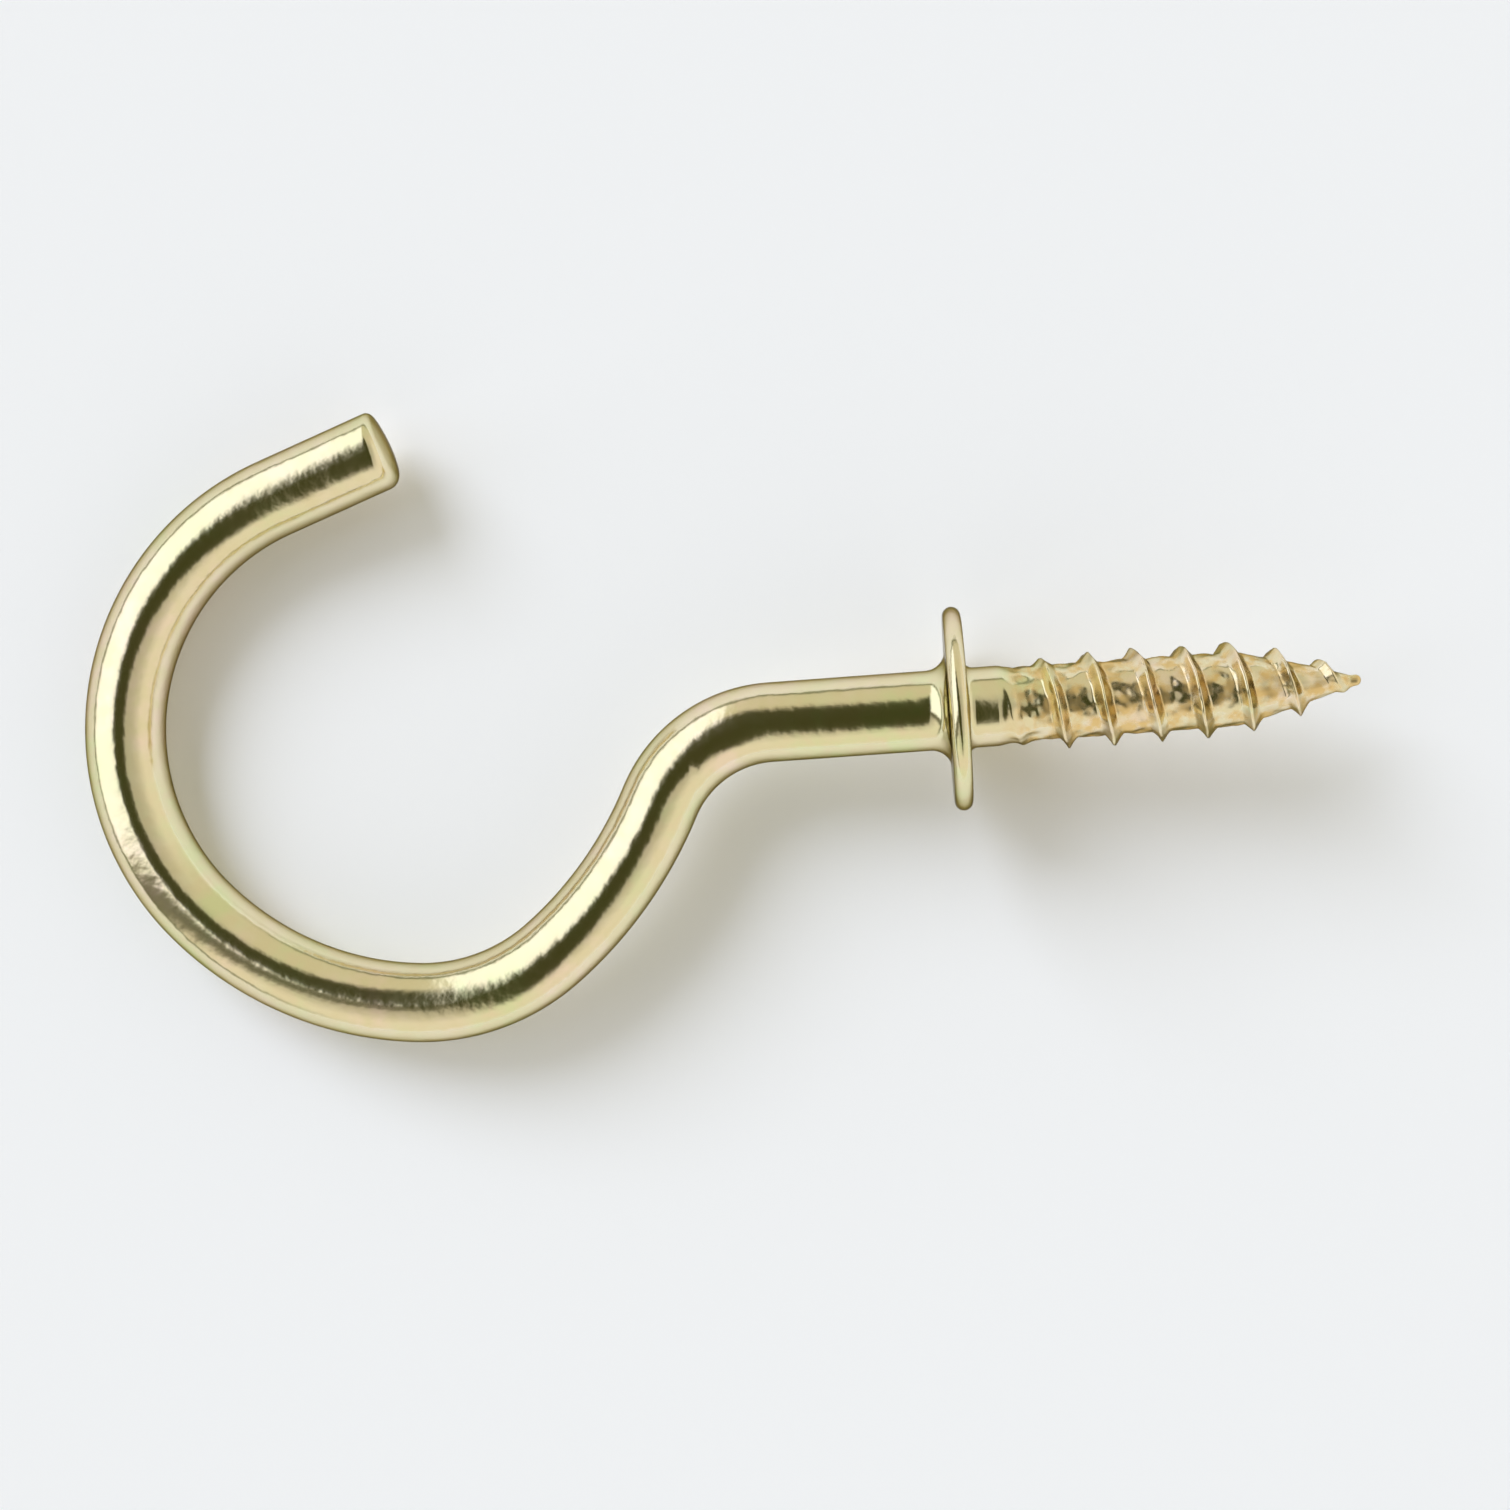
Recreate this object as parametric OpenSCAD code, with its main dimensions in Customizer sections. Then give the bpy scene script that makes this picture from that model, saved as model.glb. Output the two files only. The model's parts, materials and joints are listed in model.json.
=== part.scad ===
// Cup hook: one length of round wire with a collar upset on it, a wood-screw thread rolled on one end
// and the other end bent into an open hook. It lies as it rests on a table, on the rim of its collar
// and the far side of its hook, with the screw point in the air.
//
// Frame: the origin is the centre of the collar's seating face. The screw points to +X and rises by
// the angle of rest. The hook lies to -X, and its mouth opens to +Y.

/* [Wire] */
// Diameter of the wire
wire_d = 2.4; // [1.6:0.1:4]

/* [Hook] */
// Straight shank between the collar's fillet and the first bend
shank_l = 4.75; // [0.5:0.05:12]
// Radius of the sharp bend that sets the hook to one side, on the wire's centreline
elbow_r = 3.9; // [2.8:0.1:8]
// Turn of the sharp bend, in degrees
elbow_turn = 63.5; // [30:0.5:80]
// Radius of the slack curve down the arm
arm_r = 12.5; // [8:0.5:30]
// Turn of the arm, in degrees
arm_turn = 26; // [10:1:40]
// Radius of the tighter curve where the arm meets the bottom of the hook
heel_r = 6.1; // [5:0.1:12]
// Turn of the heel, in degrees
heel_turn = 42; // [20:1:60]
// Radius of the slack curve along the bottom of the hook
belly_r = 9.9; // [7:0.1:20]
// Turn of the belly, in degrees
belly_turn = 43; // [20:1:60]
// Radius of the long round back of the hook
back_r = 7.7; // [6:0.1:14]
// Turn of the back, in degrees
back_turn = 113; // [80:1:140]
// Straight end of the hook
tip_l = 3.9; // [1:0.1:10]
// Broken edge round the cut end of the wire
tip_chamfer = 0.15; // [0.05:0.05:0.4]

/* [Collar] */
// How far the collar stands out from the wire
collar_w = 1.85; // [1:0.05:4]
// Thickness of the collar at its round rim
collar_t = 0.55; // [0.4:0.05:1.2]
// Radius of the fillet between the wire and the back of the collar
collar_fillet = 0.6; // [0.2:0.05:1]
// Radius of the small fillet between the neck and the seating face
seat_fillet = 0.25; // [0.1:0.05:0.35]

/* [Screw] */
// Length of the screw from the seating face to its point
screw_l = 11.6; // [8:0.1:30]
// Plain neck between the seating face and the thread
neck_l = 0.9; // [0.6:0.05:4]
// Length of the tapered point
point_l = 3.7; // [2:0.1:8]
// Shape of the point: 1 is a straight cone, and less is fuller
point_shape = 0.8; // [0.6:0.05:1]
// Pitch of the thread
pitch = 1.37; // [0.8:0.01:2.5]
// How deep the thread is rolled into the wire
thread_sink = 0.1; // [0.05:0.01:0.3]
// How far the thread's crest stands out from the wire
thread_rise = 0.2; // [0.1:0.01:0.4]
// Width of the thread's crest
crest_w = 0.1; // [0.05:0.01:0.2]
// Width of the flat root between two flanks
root_w = 0.42; // [0.1:0.01:0.6]
// Turns over which the thread grows to its full height
run_in = 1.5; // [0.5:0.1:3]

/* [Hidden] */

wire_r = wire_d / 2;
collar_r = wire_r + collar_w;
back_fillet = min(collar_fillet, collar_w - collar_t / 2);
collar_root = -(collar_t + back_fillet);
root_r = wire_r - thread_sink;
thread_h = thread_sink + thread_rise;
brass = [0.84, 0.76, 0.55];

// Every other stretch of the wire is a hair thinner, and runs a little way into both its neighbours,
// so that the stretches join into one solid
lap = 0.02;
hair = 0.005;

// The wire from the collar's root to the tip, as stretches of [length or radius, turn]. The turn is
// positive to the left of the way the wire runs, and a straight stretch has none.
stretches = [
    [shank_l, 0],
    [elbow_r, elbow_turn],
    [arm_r, -arm_turn],
    [heel_r, -heel_turn],
    [belly_r, -belly_turn],
    [back_r, -back_turn],
    [tip_l, 0],
];
bends = len(stretches) - 2;

// A place on the centreline is [x, y, heading]. go(place, stretch, share) is the place part way along.
function straight(p, l) = [p.x + l * cos(p.z), p.y + l * sin(p.z), p.z];
function bend(p, r, turn) =
    let (side = sign(turn) * r)
    [
        p.x + side * (sin(p.z + turn) - sin(p.z)),
        p.y - side * (cos(p.z + turn) - cos(p.z)),
        p.z + turn,
    ];
function go(p, s, share = 1) = s[1] == 0 ? straight(p, s[0] * share) : bend(p, s[0], s[1] * share);

// Where each stretch starts, and the place after the last one
places = [
    for (i = 0, p = [collar_root, 0, 180]; i <= len(stretches);
        p = i < len(stretches) ? go(p, stretches[i]) : p, i = i + 1)
        p
];

// Farthest point of the hook's centreline from the seating face, looked for in small steps
share_step = 0.02;
reach = max([
    for (i = [0 : len(stretches) - 1])
        for (share = [0 : share_step : 1])
            -go(places[i], stretches[i], share).x
]);

// At rest the back edge of the collar and the far side of the hook touch one level surface
rim_back = collar_t / 2;
rim_r = collar_r - collar_t / 2;
rest_span = [reach - rim_back, rim_r];
rest_tilt = atan2(rest_span.y, rest_span.x) - asin((wire_r - collar_t / 2) / norm(rest_span));

// One stretch of wire, which starts at the origin and runs along +X, and is longer by over at each end
module stretch_of_wire(s, r, over) {
    over_turn = s[1] == 0 ? 0 : over / s[0] * 180 / PI;
    if (s[1] == 0)
        translate([-over, 0, 0])
            rotate([0, 90, 0])
                cylinder(r = r, h = s[0] + 2 * over, $fn = 48);
    else
        translate([0, sign(s[1]) * s[0], 0])
            rotate([0, 0, s[1] > 0 ? -90 - over_turn : 90 + s[1] - over_turn])
                rotate_extrude(angle = abs(s[1]) + 2 * over_turn, $fn = 180)
                    translate([s[0], 0])
                        circle(r = r, $fn = 48);
}

// Straight end of the hook, with the edge of its cut face broken
module tip(r) {
    rotate([0, 90, 0])
        rotate_extrude($fn = 96)
            polygon([
                [0, -lap],
                [r, -lap],
                [r, tip_l - tip_chamfer],
                [r - tip_chamfer, tip_l],
                [0, tip_l],
            ]);
}

// Puts what is drawn along +X at one place on the centreline
module at(place) {
    translate([place.x, place.y, 0])
        rotate([0, 0, place.z])
            children();
}

// The bent wire, from the collar's root to its cut end. The first stretch and the tip are thin ones.
module hook() {
    for (i = [0 : bends])
        at(places[i])
            stretch_of_wire(stretches[i], i % 2 == 0 ? wire_r - hair : wire_r, i % 2 == 0 ? lap : 0);
    at(places[bends + 1])
        tip(wire_r - hair);
}

// Half section of a fillet between the wire and a face of the collar at y = 0, which it reaches into
module fillet_section(r) {
    difference() {
        translate([0, -collar_t / 2])
            square([wire_r + r, r + collar_t / 2]);
        translate([wire_r + r, r])
            circle(r = r, $fn = 48);
    }
}

// Half section of the collar, its fillets and the plain neck: x is the radius and y runs to the point
module collar_section() {
    translate([0, collar_root])
        square([wire_r, neck_l - collar_root]);
    translate([0, -collar_t])
        square([rim_r, collar_t]);
    translate([rim_r, -collar_t / 2])
        circle(d = collar_t, $fn = 32);
    translate([0, -collar_t])
        mirror([0, 1])
            fillet_section(back_fillet);
    fillet_section(seat_fillet);
}

// Collar upset on the wire, in one with its fillets and the neck
module collar() {
    rotate([0, 90, 0])
        rotate_extrude($fn = 96)
            collar_section();
}

// The thread's section over one pitch, as lines of [axial place, share of the thread's height].
// Each line runs round the core as a right-hand helix.
flank_w = (pitch - crest_w - root_w) / 2;
lines = [
    [-crest_w / 2, 1],
    [crest_w / 2, 1],
    [crest_w / 2 + flank_w, 0],
    [crest_w / 2 + flank_w + root_w, 0],
];
sides = 24;
thread_start = neck_l - pitch;

// The lines stop this many pitches short of the point, which closes them off
last_gap = 1.15;
last = floor(len(lines) * ((screw_l - thread_start) / pitch - last_gap));

// Radius of the core, and the thread's height, at a distance x from the seating face
function core_r(x) = root_r * pow(min(1, (screw_l - x) / point_l), point_shape);
function height(x) = thread_h * max(0, min(1, (x - neck_l) / pitch / run_in, (screw_l - x) / pitch));

// Point at one side of one line
function thread_point(line, side) =
    let (
        k = line % len(lines),
        x = thread_start + pitch * (floor(line / len(lines)) + side / sides) + lines[k][0],
        r = core_r(x) + height(x) * lines[k][1],
        a = 360 * side / sides
    )
    [x, r * cos(a), r * sin(a)];

// Number of that point: the side past the last is the first side of the line one pitch on
function n(line, side) = side < sides ? line * sides + side : n(line + len(lines), side - sides);

// The rolled thread and its gimlet point. It starts inside the neck, where it has no height.
module thread() {
    points = [
        for (line = [0 : last])
            for (side = [0 : sides - 1])
                thread_point(line, side)
    ];
    root_end = len(points);
    point_end = root_end + 1;
    skin = [
        for (line = [0 : last - 1])
            for (side = [0 : sides - 1])
                if (n(line + 1, side + 1) < root_end)
                    each [
                        [n(line, side), n(line + 1, side + 1), n(line, side + 1)],
                        [n(line, side), n(line + 1, side), n(line + 1, side + 1)],
                    ]
    ];
    root_rim = [
        for (side = [0 : sides]) n(0, side),
        for (line = [len(lines) - 1 : -1 : 1]) n(line, 0),
    ];
    point_rim = [
        for (side = [0 : sides - 1]) n(last, side),
        for (line = [last - 1 : -1 : last - len(lines)]) n(line, sides - 1),
    ];
    polyhedron(
        points = concat(points, [[thread_start - pitch / 4, 0, 0], [screw_l, 0, 0]]),
        faces = concat(
            skin,
            [for (i = [0 : len(root_rim) - 1]) [root_end, root_rim[i], root_rim[(i + 1) % len(root_rim)]]],
            [for (i = [0 : len(point_rim) - 1]) [point_end, point_rim[(i + 1) % len(point_rim)], point_rim[i]]]
        )
    );
}

module cup_hook() {
    color(brass)
        rotate([0, -rest_tilt, 0]) {
            hook();
            collar();
            thread();
        }
}

cup_hook();
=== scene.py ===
"""A shouldered cup hook lying on a pale table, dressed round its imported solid.

Lengths are in metres.
"""

import json
import math

import bpy
from mathutils import Matrix, Vector, noise


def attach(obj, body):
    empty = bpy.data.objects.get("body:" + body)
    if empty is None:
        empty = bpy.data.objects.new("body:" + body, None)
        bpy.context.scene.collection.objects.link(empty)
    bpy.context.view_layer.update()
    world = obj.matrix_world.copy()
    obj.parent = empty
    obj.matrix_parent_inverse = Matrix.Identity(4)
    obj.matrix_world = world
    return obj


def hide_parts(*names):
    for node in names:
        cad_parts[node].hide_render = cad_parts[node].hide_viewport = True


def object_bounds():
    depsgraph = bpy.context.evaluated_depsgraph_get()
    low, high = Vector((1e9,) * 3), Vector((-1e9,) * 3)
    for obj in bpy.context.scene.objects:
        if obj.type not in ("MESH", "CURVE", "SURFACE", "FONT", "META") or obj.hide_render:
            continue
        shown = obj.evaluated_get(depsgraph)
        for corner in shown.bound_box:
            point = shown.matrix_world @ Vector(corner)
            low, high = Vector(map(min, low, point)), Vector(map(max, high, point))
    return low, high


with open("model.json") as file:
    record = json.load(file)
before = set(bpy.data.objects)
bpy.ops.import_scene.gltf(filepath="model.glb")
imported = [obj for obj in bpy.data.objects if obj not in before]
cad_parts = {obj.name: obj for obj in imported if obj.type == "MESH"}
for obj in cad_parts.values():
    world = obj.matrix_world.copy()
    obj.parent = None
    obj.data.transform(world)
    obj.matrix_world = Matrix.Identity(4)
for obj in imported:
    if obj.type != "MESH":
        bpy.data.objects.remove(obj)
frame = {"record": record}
cad_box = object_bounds()

# -------------------------------------------------------------------------------------------------
# The wire. The whole hook is one length of drawn mild-steel wire: one end is bent into the open
# hook, and the other carries the collar and the screw. It is drawn here in its own plane, with the
# screw along +X, and the frame's mount then says how that plane is tilted.
mm = 0.001
wire_r = 1.2 * mm
around = 96

# The skin is a row of rings. Each is a loop of points, how far along the wire it lies, and how dull
# the plate is at each point.
rings = []


def ring(x, y, heading, along, radius, dull=lambda a: 0.0):
    """A ring square to the wire, its radius given at angles from the left of the heading."""
    side = Vector((-math.sin(heading), math.cos(heading), 0.0))
    up = Vector((0.0, 0.0, 1.0))
    points, dullness = [], []
    for i in range(around):
        a = 2 * math.pi * i / around
        points.append(Vector((x, y, 0.0)) + radius(a) * (math.cos(a) * side + math.sin(a) * up))
        dullness.append(dull(a))
    rings.append((points, along, dullness))


# -------------------------------------------------------------------------------------------------
# The screw. Its thread is rolled into the wire between two dies, so the crests stand out beyond the
# wire and the roots lie a little below it. It runs down over the gimlet point.
screw_l = 11.6 * mm
neck_l = 0.9 * mm
point_l = 3.7 * mm
point_shape = 0.8
blunt_r = 0.16 * mm
tip_r = 0.1 * blunt_r

pitch = 1.37 * mm
root_depth = 0.1 * mm
root_r = wire_r - root_depth
thread_h = 0.3 * mm
crest_w = 0.05 * mm
flank_w = 0.26 * mm
flank_shape = 1.3
rings_a_turn = 56
thread_step = pitch / rings_a_turn

# In turns: where the roots reach their depth, the thread its height, and the roots their dullness
root_turns = 0.4
run_in = 1.5
dull_turns = 0.6

# Rolling leaves the crests a little uneven and off the helix, and the roots faintly dented
crest_wander = 0.03
crest_uneven = 0.3
wander_round = 2.0
dent = 0.06 * mm
dent_size = 0.4 * mm
crest_wiped = 0.7


def core_r(x):
    """The radius of the screw between its crests, down to the blunt end of the point."""
    if x > screw_l - blunt_r:
        return math.sqrt(max(tip_r ** 2, blunt_r ** 2 - (x - screw_l + blunt_r) ** 2))
    return max(blunt_r, root_r * min(1.0, (screw_l - x) / point_l) ** point_shape)


def begun(x, turns):
    """How far a change at the start of the thread has come at x, if it takes that many turns."""
    return max(0.0, min(1.0, (x - neck_l) / (turns * pitch)))


def crest_share(x, a):
    """How far up the thread's flank a place on the screw is: 1 on the crest and 0 at the root."""
    turned = (math.pi - a) / (2 * math.pi)
    wander = noise.noise(Vector((x / mm, wander_round * math.cos(a), wander_round * math.sin(a))))
    turns = (x - neck_l) / pitch - turned + crest_wander * wander
    away = abs(turns - round(turns)) * pitch
    flank = min(1.0, max(0.0, 1 - (away - crest_w / 2) / flank_w))
    return flank ** flank_shape * (1 + crest_uneven * wander)


def thread_skin(x):
    """The radius round the screw at x, with the crests as a right-hand helix."""
    started = begun(x, root_turns)
    body = core_r(x) if started == 1 else wire_r + (root_r - wire_r) * started
    height = thread_h * max(0.0, min(1.0, (x - neck_l) / pitch / run_in, (screw_l - x) / pitch))
    depth = dent * started ** 2 * min(1.0, body / root_r)

    def radius(a):
        place = Vector((x, wire_r * math.cos(a), wire_r * math.sin(a)))
        return body + height * crest_share(x, a) + depth * noise.noise(place / dent_size)

    return radius


def thread_dull(x):
    """The thread's roots take a thicker, darker coat than its crests."""
    started = begun(x, dull_turns)
    return lambda a: started * (1 - crest_wiped * min(1.0, crest_share(x, a)))


at = screw_l
while at > neck_l:
    ring(at, 0.0, math.pi, -at, thread_skin(at), thread_dull(at))
    at -= thread_step

# -------------------------------------------------------------------------------------------------
# The collar. It is upset on the wire in a die: a thin round flange with a rolled rim, a small
# fillet where its flat seat meets the neck and a fuller one behind.
collar_t = 0.55 * mm
rim_r = 2.775 * mm
seat_fillet = 0.25 * mm
back_fillet = 0.6 * mm
collar_root = -(collar_t + back_fillet)
seat_rings = (1.8 * mm, 2.2 * mm, 2.6 * mm)
back_rings = (2.5 * mm, 2.15 * mm)


def plain(r):
    """A round skin of one radius."""
    return lambda a: r


def arc(cx, cr, r, start, stop, steps):
    """Rings along a round part of the collar's section, with its centre at cx along and cr out."""
    for i in range(steps + 1):
        t = math.radians(start + (stop - start) * i / steps)
        px = cx + r * math.cos(t)
        ring(px, 0.0, math.pi, -px, plain(cr + r * math.sin(t)))


ring(neck_l, 0.0, math.pi, -neck_l, plain(wire_r))
arc(seat_fillet, wire_r + seat_fillet, seat_fillet, -90, -180, steps=6)
for r in seat_rings:
    ring(0.0, 0.0, math.pi, 0.0, plain(r))
arc(-collar_t / 2, rim_r, collar_t / 2, 0, 180, steps=14)
for r in back_rings:
    ring(-collar_t, 0.0, math.pi, collar_t, plain(r))
arc(collar_root, wire_r + back_fillet, back_fillet, 0, -90, steps=10)

# -------------------------------------------------------------------------------------------------
# The open hook. The wire is bent cold round the pegs of a jig, all in one plane, and its end is cut
# by shears, which roll the edge of the cut over and leave its face a little full.

# Stretches from the collar's root to the cropped end: length or radius, then turn in degrees
stretches = [
    (4.75 * mm, 0.0),
    (3.9 * mm, 63.5),
    (12.5 * mm, -26.0),
    (6.1 * mm, -42.0),
    (9.9 * mm, -43.0),
    (7.7 * mm, -113.0),
    (3.9 * mm, 0.0),
]
ring_step = 0.16 * mm

# A peg has left a faint slanting crease inside the first bend, over a share of half a turn round
crease_at = 8.15 * mm
crease_slant = 1.35 * mm
crease_w = 0.09 * mm
crease_depth = 0.02 * mm
crease_reach = 0.6

# The cut edge is rolled over by crop_r, and by crop_lean more towards crop_side. The face behind it
# has rings at shares of the way out from its middle.
crop_r = 0.3 * mm
crop_lean = 0.14 * mm
crop_side = math.radians(150)
crop_full = 0.1 * mm
crop_l = crop_r + crop_lean + crop_full
edge_rings, edge_turn = 13, 6.5
face_rings = (0.93, 0.82, 0.68, 0.5, 0.3, 0.12)


def wire_skin(along):
    """The radius round the wire, with the crease across its left side."""
    def radius(a):
        if not 0.0 < a < math.pi * crease_reach:
            return wire_r
        off = along - crease_at - crease_slant * math.cos(a)
        dip = crease_depth * math.exp(-(off / crease_w) ** 2)
        return wire_r - dip * math.sin(a / crease_reach)
    return radius


def crop_skin(back):
    """The radius round the rolled edge, at a distance back from where the face starts."""
    def radius(a):
        r = crop_r + crop_lean * math.cos(a - crop_side)
        return wire_r - r * (1 - math.sqrt(1 - (1 - min(1.0, back / r)) ** 2))
    return radius


def follow(x, y, heading, stretch, share):
    """The place and heading part way along a stretch that starts at x, y."""
    size, turn = stretch
    if turn == 0:
        return x + size * share * math.cos(heading), y + size * share * math.sin(heading), heading
    side = math.copysign(size, turn)
    end = heading + math.radians(turn) * share
    x += side * (math.sin(end) - math.sin(heading))
    y -= side * (math.cos(end) - math.cos(heading))
    return x, y, end


def crop_ring(back, radius):
    """A ring of the cropped end, at a distance back from the middle of its face."""
    ring(x - back * math.cos(heading), y - back * math.sin(heading), heading, along - back, radius)


x, y, heading = collar_root, 0.0, math.pi
along = -collar_root
for stretch in stretches:
    size, turn = stretch
    length = size if turn == 0 else size * math.radians(abs(turn))
    uncut = length - crop_l if stretch is stretches[-1] else math.inf
    steps = math.ceil(length / ring_step)
    for i in range(1, steps + 1):
        done = length * i / steps
        if done < uncut:
            ring(*follow(x, y, heading, stretch, i / steps), along + done, wire_skin(along + done))
    x, y, heading = follow(x, y, heading, stretch, 1.0)
    along += length
for i in range(edge_rings):
    edge = (crop_r + crop_lean) * (1 - math.sin(math.radians(edge_turn * i)))
    crop_ring(crop_full + edge, crop_skin(edge))
for share in face_rings:
    crop_ring((crop_full + edge) * share ** 2, lambda a: crop_skin(edge)(a) * share)

# -------------------------------------------------------------------------------------------------
# The skin joins the screw, the collar and the open hook in one closed mesh, as they are one piece
# of wire. A map of it unrolled runs along the wire and then round it, so that draw lines follow it.
points = [p for loop, _, _ in rings for p in loop]
faces, unrolled = [], []
for k in range(len(rings) - 1):
    low_i, high_i = k * around, (k + 1) * around
    here, there = rings[k][1], rings[k + 1][1]
    for i in range(around):
        j = (i + 1) % around
        faces.append((low_i + i, low_i + j, high_i + j, high_i + i))
        unrolled += [(here, i), (here, i + 1), (there, i + 1), (there, i)]

# A fan closes each end: the blunt point, and the middle of the cropped face
tip, crop = len(points), len(points) + 1
last_i = (len(rings) - 1) * around
tip_along, crop_along = rings[0][1], rings[-1][1]
points += [Vector((screw_l, 0.0, 0.0)), Vector((x, y, 0.0))]
for i in range(around):
    j = (i + 1) % around
    faces += [(tip, j, i), (crop, last_i + i, last_i + j)]
    unrolled += [(tip_along, i), (tip_along, i + 1), (tip_along, i)]
    unrolled += [(crop_along, i), (crop_along, i), (crop_along, i + 1)]

screw = next(m for m in frame["record"]["mounts"] if m["name"] == "screw")
ahead = Vector(screw["axis"]).normalized()
across = Vector((0.0, 1.0, 0.0))
lying = Matrix((ahead, across, ahead.cross(across))).transposed().to_4x4()
lying.translation = Vector(screw["pos_m"])

skin = bpy.data.meshes.new("cup_hook")
skin.from_pydata([lying @ p for p in points], [], faces)
skin.shade_smooth()
wire_map = skin.uv_layers.new(name="unrolled")
for corner, (reach, i) in zip(wire_map.data, unrolled):
    corner.uv = (reach, i * 2 * math.pi * wire_r / around)
dullness = skin.attributes.new("dullness", "FLOAT", "POINT")
for place, amount in zip(dullness.data, [d for _, _, row in rings for d in row]):
    place.value = amount
hook = bpy.data.objects.new("cup_hook_wire", skin)
bpy.context.scene.collection.objects.link(hook)

# The finish is bright brass plate over the drawn and tumbled wire. It is a little greener or pinker
# from place to place, as thin plate is, and darker and duller at the roots of the thread.
green_plate, pink_plate = (0.82, 0.83, 0.48, 1), (0.95, 0.79, 0.59, 1)
plain_plate, amber_plate = (0.88, 0.78, 0.50, 1), (0.88, 0.64, 0.29, 1)
edge_tint = (0.22, 0.18, 0.08, 1)
bright_rough, dull_rough = 0.15, 0.36
patch_scale, fleck_scale, stain_scale = 330.0, 1500.0, 2600.0
ripple_scale, ripple_depth = 2000.0, 1.1e-5
tumble_scale, tumble_depth = 5200.0, 3.5e-6
draw_scale, draw_depth, draw_stretch = 9000.0, 1e-6, 0.03

plating = bpy.data.materials.new("brass_plating")
plating.use_nodes = True
plate_tree = plating.node_tree
shader = plate_tree.nodes["Principled BSDF"]
shader.inputs["Metallic"].default_value = 1.0
shader.inputs["Specular Tint"].default_value = edge_tint


def feed(tree, socket, value):
    """Puts a plain number, vector or colour on a socket, or links another node's output to it."""
    if isinstance(value, bpy.types.NodeSocket):
        tree.links.new(value, socket)
    else:
        socket.default_value = value


def mixed(tree, share, first, second):
    """Two colours mixed by a share."""
    mix = tree.nodes.new("ShaderNodeMix")
    mix.data_type = "RGBA"
    feed(tree, mix.inputs["Factor"], share)
    for name, colour in (("A", first), ("B", second)):
        feed(tree, next(s for s in mix.inputs if s.name == name and s.type == "RGBA"), colour)
    return next(s for s in mix.outputs if s.type == "RGBA")


def spread(tree, value, start, stop, first=0.0, last=1.0, kind="LINEAR"):
    """A value spread out, so that it is first at start and last at stop."""
    node = tree.nodes.new("ShaderNodeMapRange")
    node.interpolation_type = kind
    ends = {"Value": value, "From Min": start, "From Max": stop, "To Min": first, "To Max": last}
    for name, end in ends.items():
        feed(tree, node.inputs[name], end)
    return node.outputs["Result"]


def mottle(vector, scale, detail=1.0, low=0.0, high=1.0):
    """Noise over the plate, of so many spots to a metre, spread out between two of its levels."""
    spots = plate_tree.nodes.new("ShaderNodeTexNoise")
    for name, value in (("Vector", vector), ("Scale", scale), ("Detail", detail)):
        feed(plate_tree, spots.inputs[name], value)
    return spread(plate_tree, spots.outputs["Fac"], low, high)


where = plate_tree.nodes.new("ShaderNodeTexCoord")
solid, round_wire = where.outputs["Object"], where.outputs["UV"]
dull = plate_tree.nodes.new("ShaderNodeAttribute")
dull.attribute_name = "dullness"
stains = plate_tree.nodes.new("ShaderNodeMath")
stains.operation = "MULTIPLY"
feed(plate_tree, stains.inputs[0], dull.outputs["Fac"])
feed(plate_tree, stains.inputs[1], mottle(solid, stain_scale, detail=2.0, low=0.4, high=0.62))
stained = stains.outputs["Value"]

patches = mottle(solid, patch_scale, detail=3.0, low=0.38, high=0.62)
flecks = mottle(solid, fleck_scale, detail=2.0, low=0.35, high=0.65)
plate = mixed(plate_tree, patches, green_plate, pink_plate)
plate = mixed(plate_tree, flecks, plate, plain_plate)
plate = mixed(plate_tree, stained, plate, amber_plate)
feed(plate_tree, shader.inputs["Base Color"], plate)
gloss = spread(plate_tree, stained, 0.0, 1.0, bright_rough, dull_rough)
feed(plate_tree, shader.inputs["Roughness"], gloss)

# Three scales of relief: soft ripples, fine tumbling marks, and draw lines along the wire
lines = plate_tree.nodes.new("ShaderNodeMapping")
feed(plate_tree, lines.inputs["Vector"], round_wire)
feed(plate_tree, lines.inputs["Scale"], (draw_stretch, 1.0, 1.0))
reliefs = (
    (mottle(solid, ripple_scale), ripple_depth),
    (mottle(solid, tumble_scale), tumble_depth),
    (mottle(lines.outputs["Vector"], draw_scale), draw_depth),
)
normal = None
for height, depth in reliefs:
    bump = plate_tree.nodes.new("ShaderNodeBump")
    for name, value in (("Strength", 1.0), ("Distance", depth), ("Height", height)):
        feed(plate_tree, bump.inputs[name], value)
    if normal:
        feed(plate_tree, bump.inputs["Normal"], normal)
    normal = bump.outputs["Normal"]
feed(plate_tree, shader.inputs["Normal"], normal)

skin.materials.append(plating)
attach(hook, "root")
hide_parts("cup_hook")

# -------------------------------------------------------------------------------------------------
# The table: a wide sheet of pale matt paper that the hook lies on. The rim of the collar and the
# back of the hook touch it.
low, high = cad_box
table_half = 3.0
paper_colour = (0.955, 0.965, 0.985, 1)
paper_rough = 0.9
paper_specular = 0.2

sheet = bpy.data.meshes.new("table")
signs = ((-1, -1), (1, -1), (1, 1), (-1, 1))
corners = [(sx * table_half, sy * table_half, low.z) for sx, sy in signs]
sheet.from_pydata(corners, [], [(0, 1, 2, 3)])
table = bpy.data.objects.new("table", sheet)
bpy.context.scene.collection.objects.link(table)
paper = bpy.data.materials.new("pale_paper")
paper.use_nodes = True
paper_shader = paper.node_tree.nodes["Principled BSDF"]
paper_shader.inputs["Base Color"].default_value = paper_colour
paper_shader.inputs["Roughness"].default_value = paper_rough
paper_shader.inputs["Specular IOR Level"].default_value = paper_specular
sheet.materials.append(paper)

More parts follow.
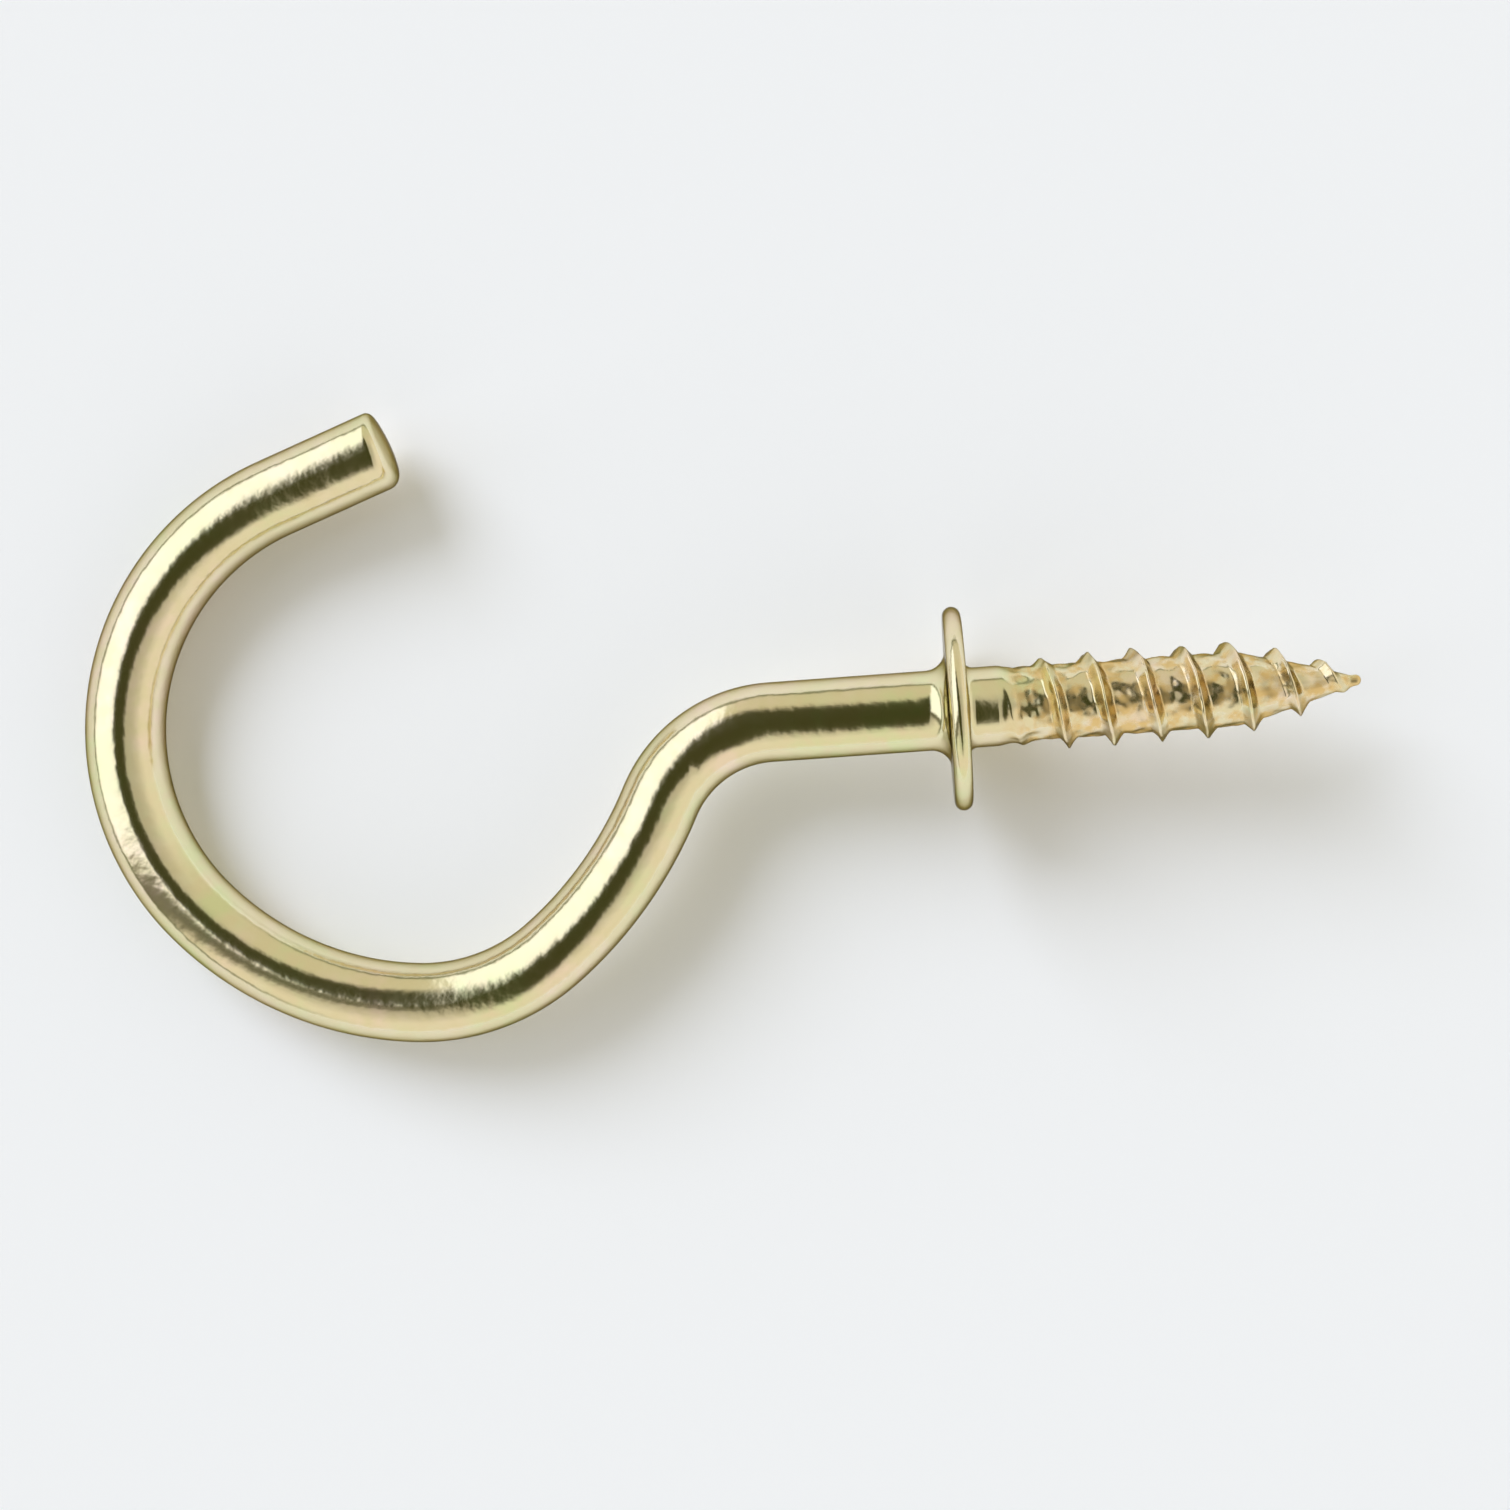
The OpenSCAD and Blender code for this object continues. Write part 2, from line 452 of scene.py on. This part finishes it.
# -------------------------------------------------------------------------------------------------
# The light: a warm pale cloth tent, dimmer overhead and at the back, with a wide bright panel on
# its left and a dark oval overhead, where the camera looks in. A far lamp behind the panel gives
# the soft shadow on the table, and the wire mirrors the panel and not the lamp.
tent = bpy.data.worlds.new("tent")
bpy.context.scene.world = tent
tent.use_nodes = True
tent_tree = tent.node_tree
way = tent_tree.nodes.new("ShaderNodeTexCoord").outputs["Generated"]


def aim(round_deg, down_deg):
    """The direction that lies round from +X, and down from straight overhead."""
    r, d = math.radians(round_deg), math.radians(down_deg)
    return Vector((math.cos(r) * math.sin(d), math.sin(r) * math.sin(d), math.cos(d)))


def tent_math(operation, *values):
    """A maths node of the tent's, fed with numbers and with other nodes' outputs."""
    node = tent_tree.nodes.new("ShaderNodeMath")
    node.operation = operation
    for socket, value in zip(node.inputs, values):
        feed(tent_tree, socket, value)
    return node.outputs["Value"]


def product(first, *others):
    """Shares multiplied together."""
    for other in others:
        first = tent_math("MULTIPLY", first, other)
    return first


def towards(direction):
    """How far each way out of the tent points along a direction, from -1 to 1."""
    node = tent_tree.nodes.new("ShaderNodeVectorMath")
    node.operation = "DOT_PRODUCT"
    feed(tent_tree, node.inputs[0], way)
    feed(tent_tree, node.inputs[1], direction)
    return node.outputs["Value"]


def rising(value, start, stop):
    """A smooth change from 0 to 1 as a value goes from start to stop."""
    return spread(tent_tree, value, start, stop, 0.0, 1.0, kind="SMOOTHSTEP")


def falling(value, start, stop):
    """A smooth change from 1 to 0 as a value goes from start to stop."""
    return spread(tent_tree, value, start, stop, 1.0, 0.0, kind="SMOOTHSTEP")


up = towards((0, 0, 1))

# The cloth
cloth_dim, cloth_bright = (0.51, 0.49, 0.42, 1), (0.84, 0.80, 0.71, 1)
cloth_back = (0.67, 0.64, 0.51, 1)
overhead = (0.45, 0.95)
back_way, back_fade = aim(101, 80), (0.25, 0.75)
cloth = mixed(tent_tree, falling(up, *overhead), cloth_dim, cloth_bright)
cloth = mixed(tent_tree, rising(towards(back_way), *back_fade), cloth, cloth_back)

# The bright panel, between its upright edge, its lower edge and its foot
panel_colour = (1.25, 1.3, 1.4, 1)
upright_edge = Vector((-0.940, -0.270, -0.208))
lower_edge = Vector((-0.312, 0.948, -0.070))
edge_fade = (-0.04, 0.06)
foot_top = (0.14, 0.21)
panel = product(rising(towards(upright_edge), *edge_fade),
                rising(towards(lower_edge), *edge_fade), rising(up, *foot_top))
tented = mixed(tent_tree, panel, cloth, panel_colour)

# The dark gap that runs below the panel's lower edge, on the left
gap_start, gap_end = (-0.02, 0.05), (0.16, 0.32)
left_way, left_fade = aim(180, 90), (0.15, 0.4)
gap_share = 0.85
below = towards(-lower_edge)
gap = product(rising(below, *gap_start), falling(below, *gap_end),
              rising(towards(left_way), *left_fade), gap_share)

# The dark oval overhead. Each way out is laid on a flat round map of the tent, and its distance
# from the oval's middle is taken in half lengths and half widths.
oval_turn = 104
oval_half_l, oval_off_l = 0.57, 0.034
oval_half_w, oval_off_w = 0.19, 0.061
oval_fade = (0.8, 1.15)
flat = tent_math("SQRT", tent_math("ADD", 1.0, up))


def oval_part(turn, off, half):
    """The square of the distance along one axis of the oval."""
    far = tent_math("ADD", tent_math("DIVIDE", towards(aim(turn, 90)), flat), off)
    return tent_math("POWER", tent_math("DIVIDE", far, half), 2.0)


oval = tent_math("SQRT", tent_math("ADD", oval_part(oval_turn, oval_off_l, oval_half_l),
                                   oval_part(oval_turn - 90, oval_off_w, oval_half_w)))
dark_colour = (0.05, 0.052, 0.015, 1)
tented = mixed(tent_tree, tent_math("MAXIMUM", gap, falling(oval, *oval_fade)), tented, dark_colour)

# The dark foot of the panel, just above the skirt
foot_colour = (0.1, 0.12, 0.04, 1)
foot_way, foot_fade = aim(150, 90), (-0.1, 0.4)
foot = product(falling(up, *foot_top), rising(towards(foot_way), *foot_fade))
tented = mixed(tent_tree, foot, tented, foot_colour)

# The pale skirt all round, down to the table
skirt_colour = (0.87, 0.888, 0.905, 1)
skirt_top = (0.075, 0.09)
tented = mixed(tent_tree, falling(up, *skirt_top), tented, skirt_colour)
background = tent_tree.nodes["Background"]
feed(tent_tree, background.inputs["Color"], tented)
background.inputs["Strength"].default_value = 1.0

# The lamp behind the panel
softbox_way, softbox_spread = aim(132, 54), math.radians(34)
softbox = bpy.data.lights.new("softbox", "SUN")
softbox.angle = softbox_spread
softbox.color = (0.93, 0.99, 1.13)
softbox.energy = 1.6
softbox_lamp = bpy.data.objects.new("softbox", softbox)
bpy.context.scene.collection.objects.link(softbox_lamp)
softbox_lamp.rotation_euler = softbox_way.to_track_quat("Z", "Y").to_euler()
softbox_lamp.visible_camera = False
softbox_lamp.visible_glossy = False

# -------------------------------------------------------------------------------------------------
# The camera looks straight down from close above the middle of the hook, turned a few degrees. Half
# the width of its view is given as seen one metre away.
camera_height = 0.06875
view_half_width = 0.34318
camera_aside_x, camera_aside_y = 1.23 * mm, -1.61 * mm
camera_turn = math.radians(-4.05)

camera = bpy.data.cameras.new("camera")
camera.lens = camera.sensor_width / 2 / view_half_width
camera.clip_start = 1 * mm
camera_object = bpy.data.objects.new("camera", camera)
bpy.context.scene.collection.objects.link(camera_object)
middle = (low + high) / 2
camera_object.location = (middle.x + camera_aside_x, middle.y + camera_aside_y,
                          low.z + camera_height)
camera_object.rotation_euler = (0.0, 0.0, camera_turn)
bpy.context.scene.camera = camera_object
bpy.context.scene.view_settings.view_transform = "Standard"
